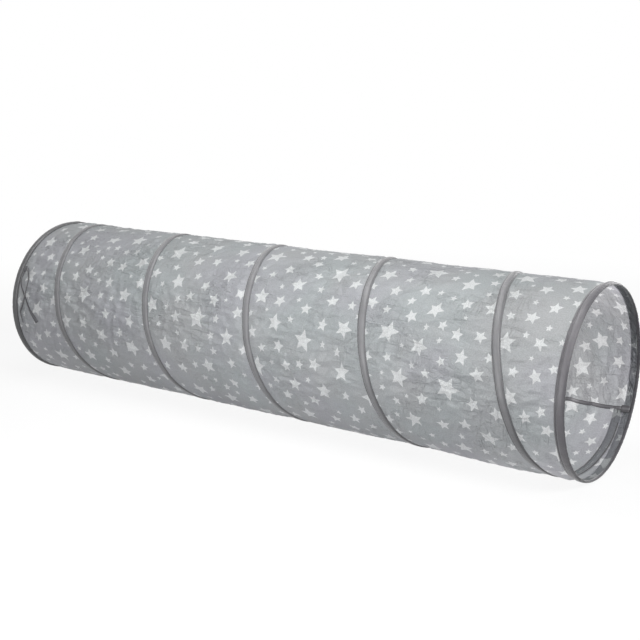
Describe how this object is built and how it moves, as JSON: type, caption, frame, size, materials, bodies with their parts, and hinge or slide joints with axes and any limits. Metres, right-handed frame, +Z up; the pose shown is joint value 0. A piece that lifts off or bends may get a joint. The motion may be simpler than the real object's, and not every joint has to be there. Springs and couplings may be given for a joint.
{
  "type": "play tunnel",
  "caption": "Collapsible crawl tunnel: a printed fabric tube held open by a spring wire coil in sewn casings between wire end hoops, with tie tapes beside one hoop.",
  "frame": {"origin": "centre of the tunnel's length, on the ground under its axis; the ties are left out", "axes": "+X along the tunnel from its tied far end to its near end, +Z up, the ties on the -Y side"},
  "size_m": [1.83, 0.4826, 0.4742],
  "materials": {
    "printed_sheet": "thin light grey polyester, slightly shiny, printed with scattered off-white stars",
    "grey_tape": "matt mid-grey woven tape, sewn along both edges",
    "seam_binding": "matt dark grey binding tape",
    "tie_tape": "matt dark grey narrow tape",
    "spring_steel": "drawn spring steel wire",
    "ferrule_metal": "crimped",
    "tip_plastic": "black moulded cap"
  },
  "bodies": {
    "far_end": {"fabric_tube": "printed_sheet", "casing_1": "grey_tape", "coil_wire": "spring_steel", "far_coil_tip": "tip_plastic", "far_hoop_wire": "spring_steel", "far_ferrule": "ferrule_metal", "far_hem_casing": "grey_tape", "far_seam_patch": "seam_binding", "seam_tape": "seam_binding", "tie_anchor": "tie_tape", "tie_a": "tie_tape", "tie_b": "tie_tape"},
    "turn_2": {"casing_2": "grey_tape"},
    "turn_3": {"casing_3": "grey_tape"},
    "turn_4": {"casing_4": "grey_tape"},
    "turn_5": {"casing_5": "grey_tape"},
    "near_end": {"near_hem_casing": "grey_tape", "near_hoop_wire": "spring_steel", "near_ferrule": "ferrule_metal", "near_coil_tip": "tip_plastic", "near_seam_patch": "seam_binding"}
  },
  "joints": [
    {"name": "collapse", "type": "slide", "parent": "far_end", "child": "near_end", "axis": [1, 0, 0], "range_m": [-1.74, 0], "stiffness_N_per_m": 2, "deforming": ["fabric_tube", "coil_wire", "seam_tape", "casing_1"]},
    {"name": "turn_2_slide", "type": "slide", "parent": "far_end", "child": "turn_2", "axis": [1, 0, 0], "range_m": [-0.349, 0], "deforming": ["casing_2"]},
    {"name": "turn_3_slide", "type": "slide", "parent": "far_end", "child": "turn_3", "axis": [1, 0, 0], "range_m": [-0.697, 0], "deforming": ["casing_3"]},
    {"name": "turn_4_slide", "type": "slide", "parent": "far_end", "child": "turn_4", "axis": [1, 0, 0], "range_m": [-1.045, 0], "deforming": ["casing_4"]},
    {"name": "turn_5_slide", "type": "slide", "parent": "far_end", "child": "turn_5", "axis": [1, 0, 0], "range_m": [-1.393, 0], "deforming": ["casing_5"]}
  ],
  "couplings": [
    {"joint": "turn_2_slide", "follows": "collapse", "ratio": 0.2},
    {"joint": "turn_3_slide", "follows": "collapse", "ratio": 0.4},
    {"joint": "turn_4_slide", "follows": "collapse", "ratio": 0.6},
    {"joint": "turn_5_slide", "follows": "collapse", "ratio": 0.8}
  ]
}
